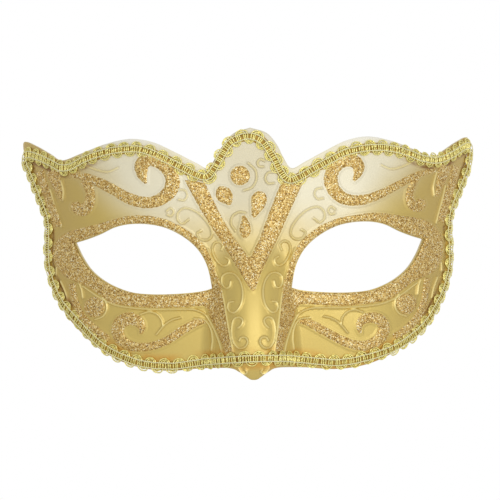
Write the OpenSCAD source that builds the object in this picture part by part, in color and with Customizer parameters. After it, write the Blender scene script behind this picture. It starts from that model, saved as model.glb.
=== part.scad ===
// Venetian half mask: a thin moulded shell over the brow, nose and cheeks, a gimp braid glued round its edge,
// and glitter laid on its face stroke by stroke.
//
// Frame: X runs to the right of someone looking at the mask, Y runs back towards the wearer and Z runs up.
// The origin is on the back of the shell at the bridge of the nose, where the mask rests on the wearer.
// Everything is first drawn flat, as [x, z] seen from the front, and then laid on the curved face.

/* [Shell] */
// Width over the braid at the temple points
mask_w = 182; // [165:1:195]
// Height from the nose tip to the top of the forehead arch
mask_h = 101; // [92:1:108]
// How far the temples wrap back round the head
wrap_depth = 60; // [45:1:66]
// How far the nose stands out from the brow
nose_h = 20; // [14:1:23]
// Thickness of the plastic
shell_t = 1.1; // [0.8:0.1:1.4]
// Diameter of the tie hole at each temple
tie_hole_d = 2.4; // [2:0.2:3]

/* [Braid] */
// Full width of the braid over its scallops
braid_w = 6.3; // [5.7:0.2:6.9]
// Length of one scallop along the braid
scallop_l = 5.9; // [5:0.1:8]
// Distance between the two core cords
core_gap = 2.4; // [2:0.1:3]
// Diameter of each core cord
core_d = 0.6; // [0.5:0.1:1]
// Width of the flat set of strands that waves under the cords
strand_w = 1.8; // [1.4:0.1:2.2]
// Thickness of the strands
strand_t = 0.5; // [0.4:0.1:0.8]
// Width of the adhesive bead under the braid
glue_w = 3.6; // [3:0.2:4.4]
// Thickness of the adhesive bead
glue_t = 0.4; // [0.3:0.1:0.6]

/* [Glitter] */
// Thickness of the glitter along the middle of a stroke
glitter_t = 0.55; // [0.4:0.05:0.8]

/* [Hidden] */

// The outlines are drawn for a mask 182 wide and 101 high, and stretched to the size asked for
sx = mask_w / 182;
sz = mask_h / 101;

// Relief of the face
wrap_power = 3;
lean = 4;
nose_top = 18 * sz;
nose_crest = -44 * sz;
nose_curl = 17 * sz;
nose_bridge_w = 13 * sx;
nose_base_w = 21 * sx;
nose_flatness = 1.4;
socket_x = 43 * sx;
socket_z = -3 * sz;
socket_rx = 26 * sx;
socket_rz = 15 * sz;
socket_depth = 2.5;

// Fineness of the meshes
shell_steps = 8;
probe = 0.05;
gap = 0.03;

// Half of the shell's outline with the edge of its eye opening beside it, section by section, going round
// from the nose tip past the temple to the forehead arch and back down the middle.
// Each row is [points of the outline, points of the eye opening, steps].
SECTIONS = [
    [[[0, -52], [1.4, -51.8], [3.2, -50.6], [6, -48.7], [10, -47.1], [21, -47.2], [33, -48], [44, -46.8],
            [53.8, -43.4], [61.5, -38.5]],
        [[16, -15.2], [19, -16.1], [24, -16.8], [32, -17.3], [40, -17.3], [47.5, -16.5], [54, -14.3]], 22],
    [[[61.5, -38.5], [69, -31.4], [75, -23.6], [79.3, -13.9], [81.6, -3], [81.2, 9], [84, 19.5], [87.7, 30],
            [89.4, 38]],
        [[54, -14.3], [59.5, -11.2], [64, -7.2], [67.3, -2.2], [70, 3.6]], 20],
    [[[89.4, 38], [89.8, 44.4], [85.2, 42.8], [80, 39.6], [75, 36.8], [67, 39.6], [58, 43], [48, 45],
            [39, 43.6]],
        [[70, 3.6], [65, 5.1], [60, 7], [55, 9.4], [50, 10.6], [45, 10.9], [40, 10.5]], 20],
    [[[39, 43.6], [30, 39.4], [22, 35.2], [16.4, 32.6], [13.2, 37], [10.6, 42.2], [6.6, 46.8], [0, 49]],
        [[40, 10.5], [35, 9.4], [30, 7.2], [25, 3.9]], 18],
    [[[0, 49], [0, 30], [0, 12], [0, -5], [0, -20], [0, -35], [0, -52]],
        [[25, 3.9], [21, -0.2], [18.3, -5], [16.9, -9.6], [16, -15.2]], 22]];

// Where the tie holes go through, under the braid
tie_hole_at = [80.3, 0];

// The middle of the braid, clockwise from the top of the arch: it is laid by hand, so the two sides differ
BRAID_PATH = [[-0.5, 45.4], [4.6, 43.4], [9.2, 36.9], [11.8, 31.6], [15, 27.8], [19.5, 28.9], [29.3, 34.3],
    [39.3, 38.9], [49.3, 40.5], [59.5, 39.4], [69.5, 36], [76, 35.4], [82, 37.6], [87.4, 40.8],
    [89.9, 40.7], [90, 37], [88.6, 31], [85.3, 23.5], [81.6, 15], [80.5, 8], [80.8, -1], [80.2, -9],
    [76.4, -20], [69.4, -30.6], [59, -38.6], [46.5, -43.2], [34, -45.2], [18.5, -43.8], [8, -43.2],
    [-5, -43.4], [-21, -44.7], [-34, -46], [-47, -43.9], [-58.6, -38.1], [-68.1, -28.7], [-75.6, -19],
    [-79.6, -8], [-80.4, 0.5], [-80.2, 8], [-80.6, 14], [-83.6, 22.5], [-86.9, 31.5], [-88.8, 37],
    [-87.4, 39.5], [-80, 36.6], [-75, 33.8], [-71, 34], [-64.5, 37.4], [-55, 40.2], [-45.3, 40.8],
    [-39.5, 39.2], [-30.5, 34.9], [-22, 30.4], [-17.6, 29.4], [-14.4, 33], [-9.2, 41.4], [-5.8, 44.2]];
braid_steps = 4;

// Strokes of glitter, each a list of [x, z, width]. They too are laid by hand, so the two sides differ.
EYE_RIM_RIGHT = [[9.8, -40.6, 3.1], [10.6, -37, 3.4], [11.6, -33.3, 4.1], [12.5, -30, 4.9], [13.4, -27, 6],
    [14.1, -23.6, 6.4], [14, -19.4, 5.2], [13.9, -15.4, 4], [15.2, -9.6, 2.8], [17, -4.4, 2.6],
    [19.8, 1.2, 2.5], [24.1, 5.5, 2.5], [29.4, 8.8, 2.7], [34.7, 10.9, 2.7], [40, 11.9, 2.8],
    [45, 12.4, 3.2], [50, 12.4, 4], [55, 11.6, 4.8], [60, 10.3, 5.8], [65.2, 9, 7], [70, 7.2, 7.6],
    [73.6, 3.4, 8], [73.6, -1.4, 8.8], [71.2, -5.6, 9.4], [67.8, -8.4, 7.4], [64.3, -10.9, 5.4],
    [61.4, -13.2, 5], [58.2, -15.4, 5], [54.4, -18, 5.1], [47.6, -19.4, 5], [40, -20.1, 5],
    [33, -20.2, 4.9], [26.6, -19.9, 4.6], [19.6, -19.6, 4.4]];
EYE_RIM_LEFT = [[-9.8, -40.6, 3.1], [-10.6, -37, 3.4], [-11.6, -33.3, 4.1], [-12.5, -30, 4.9],
    [-13.4, -27, 6], [-14.1, -23.6, 6.4], [-14, -19.4, 5.2], [-13.9, -15.4, 4], [-15.2, -9.6, 2.8],
    [-17, -4.4, 2.6], [-19.8, 1.2, 2.5], [-24.1, 5.5, 2.6], [-29.4, 8.8, 2.8], [-34.7, 11.2, 3],
    [-40, 12.4, 3.1], [-45, 12.7, 3.2], [-50, 12.3, 3.2], [-55, 11, 3.5], [-60, 9.2, 4], [-65, 7.6, 4.6],
    [-70.4, 5.8, 5.6], [-73.9, 2.2, 7.8], [-73.8, -2, 8.8], [-71.2, -6.2, 9], [-67.6, -9.2, 7],
    [-64.2, -11.4, 5.4], [-61.2, -13.6, 5.2], [-58, -15.8, 5.1], [-54.4, -18.2, 5.3], [-47.6, -19.5, 5.1],
    [-40, -20.2, 5], [-33, -20.3, 5], [-26.6, -20.1, 4.8], [-19.6, -19.8, 4.6]];
BROW_SCROLL_RIGHT = [[75.4, 31.2, 1.4], [70, 30.3, 2.2], [64.6, 28.2, 2.7], [60, 25.7, 3], [55, 23.2, 3.2],
    [50, 21, 3.6], [45, 19.6, 4], [40, 19.5, 4.4], [36, 20.9, 5], [33.1, 24, 5.4], [32, 28, 5.6],
    [33.4, 32.2, 5], [37, 35, 5], [41, 35.3, 5.2], [43.3, 33, 5], [42.9, 30, 3.4], [41.2, 27.2, 1]];
BROW_SCROLL_LEFT = [[-71.4, 31, 1.4], [-65.6, 29.9, 3.2], [-60, 27.6, 3.8], [-55, 24.9, 4.1],
    [-50, 21.9, 4.3], [-45, 19.9, 4.5], [-40, 19.4, 4.5], [-35.4, 21, 5], [-32.2, 24, 5.6],
    [-31.1, 28, 5.7], [-32.8, 32.4, 5.2], [-36.6, 35.6, 5], [-40.6, 36.5, 5.2], [-43.2, 34.5, 5.6],
    [-43.3, 31.4, 4.6], [-42.5, 29, 2.8], [-41.7, 27.1, 1]];
TEMPLE_CURL_RIGHT = [[67.8, 28.6, 1.6], [65.6, 25.6, 2.6], [64.3, 22.4, 3], [64.4, 19.2, 3.6],
    [66.2, 16.9, 4.4], [68.6, 17.5, 4.4], [69, 19.8, 2.6]];
TEMPLE_CURL_LEFT = [[-66.6, 28.4, 2.2], [-64.2, 25.6, 3.4], [-63.6, 22.4, 3.6], [-64.2, 19.2, 4.2],
    [-66.4, 16.8, 5], [-69, 17.9, 4.6], [-69.4, 20, 2.6]];
TEMPLE_WEDGE_RIGHT = [[79.6, 33.4, 5.4], [78.3, 29.5, 4.6], [77, 25, 3.1], [75.6, 20.8, 1.2]];
TEMPLE_WEDGE_LEFT = [[-78.4, 33, 5.4], [-77.3, 29.5, 4.6], [-76.1, 25, 3.1], [-74.8, 20.8, 1.2]];
TEMPLE_LINE_RIGHT = [[83.9, 33, 3.4], [82.5, 27, 3.4], [80.6, 20.6, 3.6], [78.6, 14.8, 3.8],
    [76.8, 10.6, 3.4]];
TEMPLE_LINE_LEFT = [[-83.3, 32.6, 3.2], [-81.7, 26.6, 3.2], [-79.8, 20.4, 3.4], [-77.9, 14.8, 3.6],
    [-76.2, 10.2, 3.2]];
CHEEK_SCROLL_RIGHT = [[43.5, -33.8, 1], [42.9, -30.9, 2.6], [44.5, -28.4, 3.8], [48, -27.5, 4.2],
    [51.6, -28.7, 4.6], [53, -32, 4.8], [51, -36.2, 4.6], [46.4, -38.6, 4.2], [40.6, -38.3, 3.8],
    [35.6, -36.4, 3.6], [31.3, -34.1, 3.5], [27, -31.7, 3.5], [23.6, -29.8, 3.2], [20.6, -28.9, 2.2],
    [18.6, -29, 1]];
CHEEK_SCROLL_LEFT = [[-44.2, -33.2, 1], [-43.9, -30.6, 2.8], [-45.5, -28.1, 4.2], [-48.8, -27, 5.2],
    [-52.2, -28.5, 5.2], [-53.5, -32, 4.8], [-51.8, -35.8, 4.4], [-47.6, -38.1, 3.8], [-41.6, -38.3, 3.3],
    [-36, -36.8, 3.3], [-32.2, -34.7, 3.3], [-28, -31.9, 3.4], [-24, -29.7, 3.2], [-20.6, -28.5, 2.4],
    [-18.4, -28.7, 1]];
SIDE_BRANCH_RIGHT = [[71.1, -12, 2.6], [70.9, -15, 2.8], [70.3, -18.8, 2.8], [69, -24, 3.2],
    [66.2, -28.8, 3.4], [62, -32.8, 3.4], [57, -35.6, 2.6]];
SIDE_BRANCH_LEFT = [[-71, -12.6, 2.6], [-70.8, -15.4, 2.6], [-70.2, -18.8, 2.5], [-68.6, -23.6, 2.8],
    [-65.6, -28.2, 3.2], [-61.2, -32.2, 3.2], [-56.8, -35.3, 2.4]];
cheek_spot_at = [62.4, -22.2];
cheek_spot_r = 4.1;

// Forehead glitter: the chevron by its two edges, the spots by their middle lines
CHEVRON_OUTER = [[-26.4, 28.4], [-21.4, 18.6], [-16, 9.4], [-10.8, 1.4], [-5.4, -8], [0, -16.4],
    [3.7, -8.8], [8.2, 0.2], [11.3, 6.2], [14.3, 12.8], [20.8, 26.4]];
CHEVRON_INNER = [[-18.4, 27], [-14.8, 19.6], [-11, 11.8], [-7, 5.2], [-3.4, 0], [-1, -3], [1, 0.2],
    [3.4, 5], [5.8, 11.2], [8.4, 18], [12.2, 27]];
round_spot_at = [-4.2, 29.8];
round_spot_r = 3.9;
TAILED_SPOT = [[-13.2, 25, 1.6], [-12.5, 24.2, 4.2], [-11.3, 22.8, 6.2], [-9.9, 21, 5.8], [-9, 19.4, 3.6],
    [-8.4, 18, 1]];
TEARDROP_SPOT = [[3.7, 23.4, 1.6], [3.6, 22.5, 4.4], [3.3, 20.6, 6.2], [2.8, 18.4, 5.8], [2, 16.2, 4.2],
    [1.3, 14.4, 2.6], [0.8, 13, 1]];
CRESCENT_SPOT = [[-3.2, 13.8, 1], [-2.7, 11.8, 2.6], [-2.5, 9.4, 4.2], [-2.6, 7.2, 4.5], [-2.8, 5.6, 2.9],
    [-3, 4.8, 1]];

// Smooth step from 0 to 1 while t runs from 0 to 1
function ease(t) = let (c = min(max(t, 0), 1)) c * c * (3 - 2 * c);

function mix(a, b, t) = a + (b - a) * t;

function unit(v) = v / norm(v);

// Place at u, 0 to 1, on a smooth curve through the points
function along(points, u) =
    let (last = len(points) - 1,
        i = min(floor(u * last), last - 1),
        f = u * last - i,
        b = points[i],
        c = points[i + 1],
        a = i > 0 ? points[i - 1] : 2 * b - c,
        d = i + 1 < last ? points[i + 2] : 2 * c - b)
    (2 * b + (c - a) * f + (2 * a - 5 * b + 4 * c - d) * f * f + (3 * b - a - 3 * c + d) * f * f * f) / 2;

function curve(points, steps) = [for (k = [0 : steps]) along(points, k / steps)];

// The same curve closed into a loop
function loop(points, steps) =
    let (n = len(points), around = [for (i = [-2 : n + 1]) points[(i + n) % n]])
    [for (k = [0 : n * steps - 1]) along(around, (2 + k / steps) / (n + 3))];

// Height of the nose above the brow at height z, and its half width there
function nose_rise(z) =
    nose_h * ease((nose_top - z) / (nose_top - nose_crest))
    * (z > nose_crest ? 1 : sqrt(1 - pow((nose_crest - z) / nose_curl, 2)));
function nose_half_w(z) =
    mix(nose_bridge_w, nose_base_w, ease((nose_top - z) / (nose_top - nose_crest)));

// Depth of the front face before the frame is set on the bridge
function relief(x, z) =
    wrap_depth * pow(abs(x) / (mask_w / 2), wrap_power)
    + lean * pow(z / (mask_h / 2), 2)
    + socket_depth * exp(-pow((abs(x) - socket_x) / socket_rx, 2) - pow((z - socket_z) / socket_rz, 2))
    - nose_rise(z) * pow(cos(90 * pow(min(abs(x) / nose_half_w(z), 1), nose_flatness)), 2);

function face_y(x, z) = relief(x, z) - relief(0, 0) - shell_t;

// Outward normal of the front face
function normal(x, z) =
    unit([(face_y(x + probe, z) - face_y(x - probe, z)) / (2 * probe), -1,
        (face_y(x, z + probe) - face_y(x, z - probe)) / (2 * probe)]);

// Lays a flat point on the face, h proud of it
function lay(p, h) =
    let (x = p[0] * sx, z = p[1] * sz)
    [x, face_y(x, z), z] + h * normal(x, z);

// Solid through a row of rings that have equal numbers of points, with flat ends or closed into a loop
module loft(rings, closed = false) {
    n = len(rings);
    m = len(rings[0]);
    skin = [for (i = [0 : n - (closed ? 1 : 2)], k = [0 : m - 1])
        let (j = (i + 1) % n, l = (k + 1) % m, a = i * m + k, b = i * m + l, c = j * m + l, d = j * m + k)
        each [[a, c, b], [a, d, c]]];
    ends = closed ? []
        : [for (k = [1 : m - 2]) each [[0, k, k + 1], [n * m - m, n * m - m + k + 1, n * m - m + k]]];
    polyhedron([for (r = rings) each r], concat(skin, ends));
}

// Crowned layer of glitter between two edges
module layer(edge_a, edge_b) {
    loft([for (i = [0 : len(edge_a) - 1])
        let (a = edge_a[i], b = edge_b[i])
        [lay(a, gap), lay(a, glitter_t / 2), lay(mix(a, b, 0.5), glitter_t),
            lay(b, glitter_t / 2), lay(b, gap), lay(mix(a, b, 0.5), gap)]]);
}

// Stroke of glitter along a line of [x, z, width]
module stroke(line, steps) {
    path = curve(line, steps);
    last = len(path) - 1;
    side = [for (i = [0 : last])
        let (d = unit([for (k = [0, 1]) path[min(i + 1, last)][k] - path[max(i - 1, 0)][k]]))
        [d[1], -d[0]] * path[i][2] / 2];
    flat = [for (p = path) [p[0], p[1]]];
    layer(flat - side, flat + side);
}

// Round spot of glitter
module spot(at, r) {
    turns = [for (k = [1 : 11]) 15 * k];
    layer([for (t = turns) at + r * [cos(t), sin(t)]], [for (t = turns) at + r * [cos(t), -sin(t)]]);
}

// Lengths along the braid's middle line and the flat points there
braid_line = loop(BRAID_PATH, braid_steps);
braid_laid = [for (p = braid_line) lay(p, 0)];
braid_n = len(braid_line);
function lengths(i = 0, sum = 0) =
    i > braid_n ? []
    : concat([sum], lengths(i + 1, sum + norm(braid_laid[(i + 1) % braid_n] - braid_laid[i % braid_n])));
braid_s = lengths();
braid_l = braid_s[braid_n];
BRAID_X = [for (i = [0 : braid_n]) [braid_s[i], braid_line[i % braid_n][0]]];
BRAID_Z = [for (i = [0 : braid_n]) [braid_s[i], braid_line[i % braid_n][1]]];
function braid_point(s) = let (t = (s + braid_l) % braid_l) [lookup(t, BRAID_X), lookup(t, BRAID_Z)];

// Position, direction along, direction inwards across and normal of the braid at length s
function braid_frame(s) =
    let (p = braid_point(s),
        along_dir = unit(lay(braid_point(s + 1), 0) - lay(braid_point(s - 1), 0)),
        up = normal(p[0] * sx, p[1] * sz))
    [lay(p, 0), along_dir, cross(along_dir, up), up];

module mask_shell() {
    spokes = [for (section = SECTIONS, k = [0 : section[2] - 1])
        [along(section[0], k / section[2]), along(section[1], k / section[2])]];
    n = len(spokes);
    m = 2 * (shell_steps + 1);
    rings = [for (side = [1, -1], spoke = spokes)
        [for (k = [0 : m - 1])
            let (front = k <= shell_steps,
                p = mix(spoke[1], spoke[0], (front ? k : m - 1 - k) / shell_steps))
            lay([side * p[0], p[1]], front ? 0 : -shell_t)]];
    // The outer wall is left out along the middle line, where the two halves are one
    faces = [for (half = [0, 1], i = [0 : n - 1], k = [0 : m - 1])
        let (j = (i + 1) % n, l = (k + 1) % m, first = half * n,
            a = (first + i) * m + k, b = (first + i) * m + l,
            c = (first + j) * m + l, d = (first + j) * m + k,
            middle = k == shell_steps && spokes[i][0][0] == 0 && spokes[j][0][0] == 0)
        if (!middle) each half == 0 ? [[a, c, b], [a, d, c]] : [[a, b, c], [a, c, d]]];
    color("palegoldenrod") difference() {
        polyhedron([for (r = rings) each r], faces);
        for (side = [1, -1]) tie_hole(side);
    }
}

// Cutter for a tie hole, square to the shell
module tie_hole(side) {
    at = [side * tie_hole_at[0], tie_hole_at[1]];
    up = normal(at[0] * sx, at[1] * sz);
    translate(lay(at, -shell_t / 2))
        rotate([0, acos(up[2]), atan2(up[1], up[0])])
            cylinder(d = tie_hole_d, h = 6 * shell_t, center = true, $fn = 48);
}

module braid_glue_bead() {
    count = round(braid_l / 4);
    color("darkgoldenrod") difference() {
        loft([for (i = [0 : count - 1])
            let (f = braid_frame(i * braid_l / count), half = f[2] * glue_w / 2)
            [f[0] - half + f[3] * gap, f[0] - half + f[3] * glue_t, f[0] + half + f[3] * glue_t,
                f[0] + half + f[3] * gap]], closed = true);
        for (side = [1, -1]) tie_hole(side);
    }
}

// One core cord, on top of the strands and at a distance across the braid
module core_cord(across) {
    count = round(braid_l / 3.5);
    color("khaki") loft([for (i = [0 : count - 1])
        let (f = braid_frame(i * braid_l / count),
            middle = f[0] + f[2] * across + f[3] * (glue_t + strand_t + core_d / 2))
        [for (t = [0 : 60 : 300]) middle + core_d / 2 * (cos(t) * f[2] + sin(t) * f[3])]], closed = true);
}

module braid_core_outer() core_cord(-core_gap / 2);

module braid_core_inner() core_cord(core_gap / 2);

// The strands as one flat ribbon that waves from side to side on the adhesive
module braid_strands() {
    waves = round(braid_l / scallop_l);
    per_wave = 6;
    swing = (braid_w - strand_w) / 2;
    count = waves * per_wave;
    color("darkkhaki") loft([for (i = [0 : count - 1])
        let (f = braid_frame(i * braid_l / count),
            t = 360 * i / per_wave,
            heading = unit([braid_l / waves, -2 * PI * swing * sin(t)]),
            half = (heading[0] * f[2] - heading[1] * f[1]) * strand_w / 2,
            middle = f[0] + f[2] * swing * cos(t))
        [middle - half + f[3] * glue_t, middle - half + f[3] * (glue_t + strand_t),
            middle + half + f[3] * (glue_t + strand_t), middle + half + f[3] * glue_t]], closed = true);
}

module glitter_stroke(line, steps) {
    color("peru") stroke(line, steps);
}

module chevron_glitter() {
    color("peru") layer(curve(CHEVRON_OUTER, 26), curve(CHEVRON_INNER, 26));
}

module glitter_spot(at, r) {
    color("peru") spot(at, r);
}

mask_shell();
braid_glue_bead();
braid_core_outer();
braid_core_inner();
braid_strands();
glitter_stroke(EYE_RIM_RIGHT, 60);  // eye_rim_glitter_right
glitter_stroke(EYE_RIM_LEFT, 60);  // eye_rim_glitter_left
chevron_glitter();
glitter_spot(round_spot_at, round_spot_r);  // round_spot_glitter
glitter_stroke(TAILED_SPOT, 8);  // tailed_spot_glitter
glitter_stroke(TEARDROP_SPOT, 8);  // teardrop_spot_glitter
glitter_stroke(CRESCENT_SPOT, 8);  // crescent_spot_glitter
glitter_stroke(BROW_SCROLL_RIGHT, 34);  // brow_scroll_glitter_right
glitter_stroke(BROW_SCROLL_LEFT, 34);  // brow_scroll_glitter_left
glitter_stroke(TEMPLE_CURL_RIGHT, 16);  // temple_curl_glitter_right
glitter_stroke(TEMPLE_CURL_LEFT, 16);  // temple_curl_glitter_left
glitter_stroke(TEMPLE_WEDGE_RIGHT, 6);  // temple_wedge_glitter_right
glitter_stroke(TEMPLE_WEDGE_LEFT, 6);  // temple_wedge_glitter_left
glitter_stroke(TEMPLE_LINE_RIGHT, 8);  // temple_line_glitter_right
glitter_stroke(TEMPLE_LINE_LEFT, 8);  // temple_line_glitter_left
glitter_stroke(CHEEK_SCROLL_RIGHT, 30);  // cheek_scroll_glitter_right
glitter_stroke(CHEEK_SCROLL_LEFT, 30);  // cheek_scroll_glitter_left
glitter_spot(cheek_spot_at, cheek_spot_r);  // cheek_spot_glitter_right
union() {  // cheek_spot_glitter_left
    glitter_spot([-cheek_spot_at[0], cheek_spot_at[1]], cheek_spot_r);
}
glitter_stroke(SIDE_BRANCH_RIGHT, 14);  // side_branch_glitter_right
glitter_stroke(SIDE_BRANCH_LEFT, 14);  // side_branch_glitter_left
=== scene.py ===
"""Looks of the venetian half mask: embossed lacquered shell, patches of glitter, and gimp braid."""

import math

import bpy
import numpy as np
from mathutils import Matrix, Vector
from mathutils.geometry import delaunay_2d_cdt
from mathutils.kdtree import KDTree


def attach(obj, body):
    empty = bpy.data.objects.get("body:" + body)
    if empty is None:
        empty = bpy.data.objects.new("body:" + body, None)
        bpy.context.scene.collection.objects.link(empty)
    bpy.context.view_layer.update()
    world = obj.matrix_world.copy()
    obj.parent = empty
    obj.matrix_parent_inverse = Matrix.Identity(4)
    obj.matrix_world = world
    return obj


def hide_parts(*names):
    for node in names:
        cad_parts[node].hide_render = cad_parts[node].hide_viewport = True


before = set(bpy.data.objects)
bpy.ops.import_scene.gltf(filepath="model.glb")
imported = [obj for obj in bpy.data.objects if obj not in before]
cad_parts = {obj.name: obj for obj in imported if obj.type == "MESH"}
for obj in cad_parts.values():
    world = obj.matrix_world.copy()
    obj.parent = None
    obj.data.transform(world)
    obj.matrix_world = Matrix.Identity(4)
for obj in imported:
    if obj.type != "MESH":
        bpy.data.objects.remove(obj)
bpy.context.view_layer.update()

MM = 0.001
BODY = "root"

# ---------------------------------------------------------------------------------------------------------
# Shape of the face, in millimetres: x to the viewer's right, z up, y back towards the wearer
# ---------------------------------------------------------------------------------------------------------

HALF_W = 91.0
HALF_H = 50.5
WRAP_DEPTH = 60.0
WRAP_POWER = 3
LEAN = 4.0
NOSE_H = 20.0
NOSE_TOP = 18.0
NOSE_CREST = -44.0
NOSE_CURL = 17.0
NOSE_BRIDGE_W = 13.0
NOSE_BASE_W = 21.0
NOSE_FLATNESS = 1.4
SOCKET = (43.0, -3.0, 26.0, 15.0, 2.5)  # x, z, half width, half height, depth
SHELL_T = 1.1

# The shell's right half: its outline, from the nose tip past the temple to the top of the arch, and its eye
OUTLINE = [
    (0, -52), (1.4, -51.8), (3.2, -50.6), (6, -48.7), (10, -47.1), (21, -47.2), (33, -48), (44, -46.8),
    (53.8, -43.4), (61.5, -38.5), (69, -31.4), (75, -23.6), (79.3, -13.9), (81.6, -3), (81.2, 9),
    (84, 19.5), (87.7, 30), (89.4, 38), (89.8, 44.4), (85.2, 42.8), (80, 39.6), (75, 36.8), (67, 39.6),
    (58, 43), (48, 45), (39, 43.6), (30, 39.4), (22, 35.2), (16.4, 32.6), (13.2, 37), (10.6, 42.2),
    (6.6, 46.8), (0, 49)]
EYE_LOWER = [
    (16, -15.2), (19, -16.1), (24, -16.8), (32, -17.3), (40, -17.3), (47.5, -16.5), (54, -14.3),
    (59.5, -11.2), (64, -7.2), (67.3, -2.2), (70, 3.6)]
EYE_UPPER = [
    (70, 3.6), (65, 5.1), (60, 7), (55, 9.4), (50, 10.6), (45, 10.9), (40, 10.5), (35, 9.4), (30, 7.2),
    (25, 3.9), (21, -0.2), (18.3, -5), (16.9, -9.6), (16, -15.2)]
TIE_HOLE = (80.3, 0.0, 1.2)  # x, z, radius

# The middle of the braid, clockwise from the top of the arch
BRAID_PATH = [
    (-0.5, 45.4), (4.6, 43.4), (9.2, 36.9), (11.8, 31.6), (15, 27.8), (19.5, 28.9), (29.3, 34.3),
    (39.3, 38.9), (49.3, 40.5), (59.5, 39.4), (69.5, 36), (76, 35.4), (82, 37.6), (87.4, 40.8),
    (89.9, 40.7), (90, 37), (88.6, 31), (85.3, 23.5), (81.6, 15), (80.5, 8), (80.8, -1), (80.2, -9),
    (76.4, -20), (69.4, -30.6), (59, -38.6), (46.5, -43.2), (34, -45.2), (18.5, -43.8), (8, -43.2),
    (-5, -43.4), (-21, -44.7), (-34, -46), (-47, -43.9), (-58.6, -38.1), (-68.1, -28.7), (-75.6, -19),
    (-79.6, -8), (-80.4, 0.5), (-80.2, 8), (-80.6, 14), (-83.6, 22.5), (-86.9, 31.5), (-88.8, 37),
    (-87.4, 39.5), (-80, 36.6), (-75, 33.8), (-71, 34), (-64.5, 37.4), (-55, 40.2), (-45.3, 40.8),
    (-39.5, 39.2), (-30.5, 34.9), (-22, 30.4), (-17.6, 29.4), (-14.4, 33), (-9.2, 41.4), (-5.8, 44.2)]

# Strokes of glitter, each a line of x, z and width. Round spots are x, z and radius.
EYE_RIM_RIGHT = [
    (9.8, -40.6, 3.1), (10.6, -37, 3.4), (11.6, -33.3, 4.1), (12.5, -30, 4.9), (13.4, -27, 6),
    (14.1, -23.6, 6.4), (14, -19.4, 5.2), (13.9, -15.4, 4), (15.2, -9.6, 2.8), (17, -4.4, 2.6),
    (19.8, 1.2, 2.5), (24.1, 5.5, 2.5), (29.4, 8.8, 2.7), (34.7, 10.9, 2.7), (40, 11.9, 2.8),
    (45, 12.4, 3.2), (50, 12.4, 4), (55, 11.6, 4.8), (60, 10.3, 5.8), (65.2, 9, 7), (70, 7.2, 7.6),
    (73.6, 3.4, 8), (73.6, -1.4, 8.8), (71.2, -5.6, 9.4), (67.8, -8.4, 7.4), (64.3, -10.9, 5.4),
    (61.4, -13.2, 5), (58.2, -15.4, 5), (54.4, -18, 5.1), (47.6, -19.4, 5), (40, -20.1, 5),
    (33, -20.2, 4.9), (26.6, -19.9, 4.6), (19.6, -19.6, 4.4)]
EYE_RIM_LEFT = [
    (-9.8, -40.6, 3.1), (-10.6, -37, 3.4), (-11.6, -33.3, 4.1), (-12.5, -30, 4.9), (-13.4, -27, 6),
    (-14.1, -23.6, 6.4), (-14, -19.4, 5.2), (-13.9, -15.4, 4), (-15.2, -9.6, 2.8), (-17, -4.4, 2.6),
    (-19.8, 1.2, 2.5), (-24.1, 5.5, 2.6), (-29.4, 8.8, 2.8), (-34.7, 11.2, 3), (-40, 12.4, 3.1),
    (-45, 12.7, 3.2), (-50, 12.3, 3.2), (-55, 11, 3.5), (-60, 9.2, 4), (-65, 7.6, 4.6), (-70.4, 5.8, 5.6),
    (-73.9, 2.2, 7.8), (-73.8, -2, 8.8), (-71.2, -6.2, 9), (-67.6, -9.2, 7), (-64.2, -11.4, 5.4),
    (-61.2, -13.6, 5.2), (-58, -15.8, 5.1), (-54.4, -18.2, 5.3), (-47.6, -19.5, 5.1), (-40, -20.2, 5),
    (-33, -20.3, 5), (-26.6, -20.1, 4.8), (-19.6, -19.8, 4.6)]
BROW_SCROLL_RIGHT = [
    (75.4, 31.2, 1.4), (70, 30.3, 2.2), (64.6, 28.2, 2.7), (60, 25.7, 3), (55, 23.2, 3.2), (50, 21, 3.6),
    (45, 19.6, 4), (40, 19.5, 4.4), (36, 20.9, 5), (33.1, 24, 5.4), (32, 28, 5.6), (33.4, 32.2, 5),
    (37, 35, 5), (41, 35.3, 5.2), (43.3, 33, 5), (42.9, 30, 3.4), (41.2, 27.2, 1)]
BROW_SCROLL_LEFT = [
    (-71.4, 31, 1.4), (-65.6, 29.9, 3.2), (-60, 27.6, 3.8), (-55, 24.9, 4.1), (-50, 21.9, 4.3),
    (-45, 19.9, 4.5), (-40, 19.4, 4.5), (-35.4, 21, 5), (-32.2, 24, 5.6), (-31.1, 28, 5.7),
    (-32.8, 32.4, 5.2), (-36.6, 35.6, 5), (-40.6, 36.5, 5.2), (-43.2, 34.5, 5.6), (-43.3, 31.4, 4.6),
    (-42.5, 29, 2.8), (-41.7, 27.1, 1)]
TEMPLE_CURL_RIGHT = [
    (67.8, 28.6, 1.6), (65.6, 25.6, 2.6), (64.3, 22.4, 3), (64.4, 19.2, 3.6), (66.2, 16.9, 4.4),
    (68.6, 17.5, 4.4), (69, 19.8, 2.6)]
TEMPLE_CURL_LEFT = [
    (-66.6, 28.4, 2.2), (-64.2, 25.6, 3.4), (-63.6, 22.4, 3.6), (-64.2, 19.2, 4.2), (-66.4, 16.8, 5),
    (-69, 17.9, 4.6), (-69.4, 20, 2.6)]
TEMPLE_WEDGE_RIGHT = [(79.6, 33.4, 5.4), (78.3, 29.5, 4.6), (77, 25, 3.1), (75.6, 20.8, 1.2)]
TEMPLE_WEDGE_LEFT = [(-78.4, 33, 5.4), (-77.3, 29.5, 4.6), (-76.1, 25, 3.1), (-74.8, 20.8, 1.2)]
TEMPLE_LINE_RIGHT = [
    (83.9, 33, 3.4), (82.5, 27, 3.4), (80.6, 20.6, 3.6), (78.6, 14.8, 3.8), (76.8, 10.6, 3.4)]
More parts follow.
